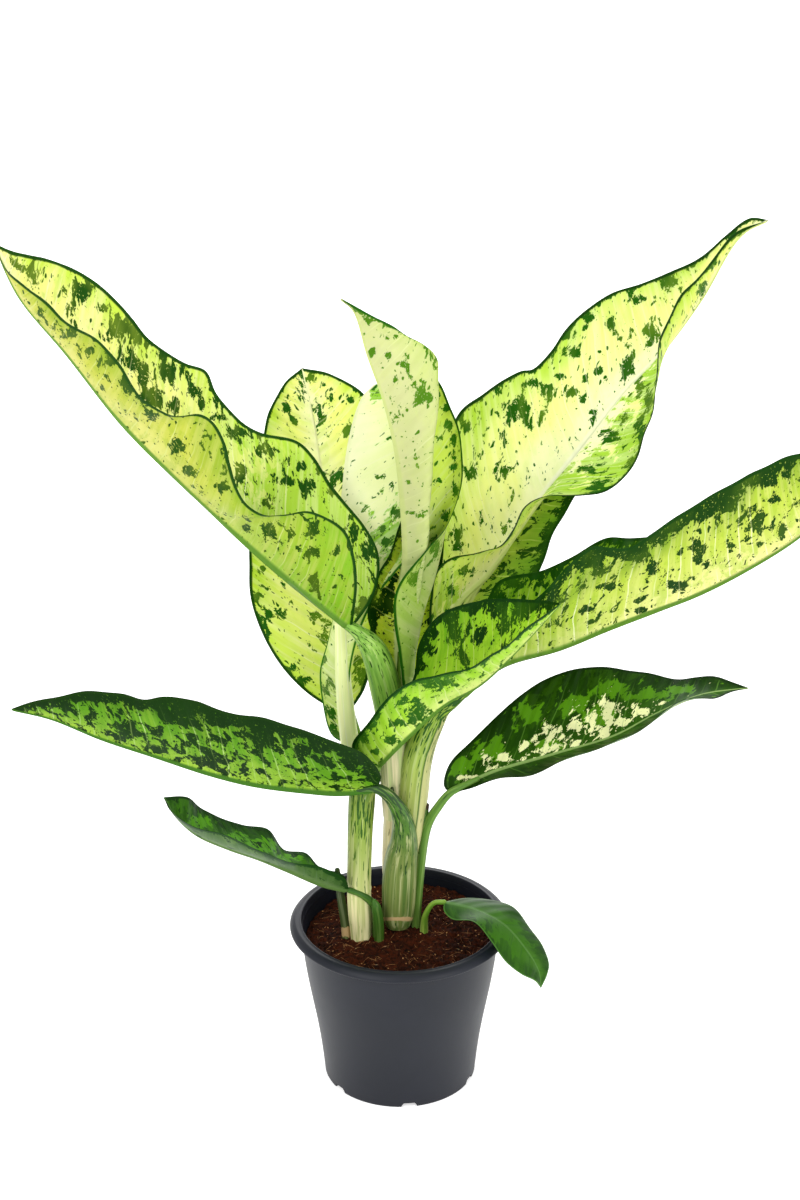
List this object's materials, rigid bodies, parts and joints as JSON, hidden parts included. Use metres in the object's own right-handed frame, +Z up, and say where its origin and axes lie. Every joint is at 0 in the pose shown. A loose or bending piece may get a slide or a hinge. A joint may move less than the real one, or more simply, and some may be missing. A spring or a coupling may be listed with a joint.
{
  "type": "potted dieffenbachia",
  "caption": "Tall house plant with long folded lime and dark green variegated leaves on pale canes, in a round tapered nursery pot of soil.",
  "frame": {"origin": "middle of the pot's foot, where it rests", "axes": "+Z up through the pot's axis, +X to the viewer's right, the viewer stands on -Y"},
  "size_m": [0.6355, 0.2599, 0.7613],
  "materials": {
    "pot_plastic": "satin slate-grey moulded plastic",
    "soil": "moist crumbly coir",
    "stem_pale": "smooth pale green with dark streaks",
    "stem_green": "smooth mid green",
    "leaf_bright": "waxy lime and cream with dark green blotches",
    "leaf_young": "soft pale lime, lightly spotted",
    "leaf_dark": "waxy dark green with lime patches"
  },
  "bodies": {
    "root": {"pot": "pot_plastic", "soil": "soil", "cane_left": "stem_pale", "cane_centre": "stem_pale", "sheath_old": "stem_green", "petiole_centre_back": "stem_pale", "petiole_front_mid": "stem_green", "petiole_left_back": "stem_green", "petiole_left_long": "stem_green", "petiole_right_long": "stem_pale", "petiole_right_top": "stem_green", "petiole_right_back": "stem_green", "petiole_centre_inner": "stem_green", "petiole_new_centre": "stem_pale", "petiole_left_lower": "stem_green", "petiole_right_lower": "stem_green", "shoot_small_left": "stem_green", "shoot_small_right": "stem_green", "leaf_left_long": "leaf_bright", "leaf_left_back": "leaf_bright", "leaf_centre_back": "leaf_young", "leaf_new_centre": "leaf_young", "leaf_right_top": "leaf_bright", "leaf_right_back": "leaf_bright", "leaf_centre_inner": "leaf_bright", "leaf_right_long": "leaf_bright", "leaf_front_mid": "leaf_bright", "leaf_left_lower": "leaf_dark", "leaf_right_lower": "leaf_dark", "leaf_small_left": "leaf_dark", "leaf_small_right": "leaf_dark"}
  },
  "joints": []
}
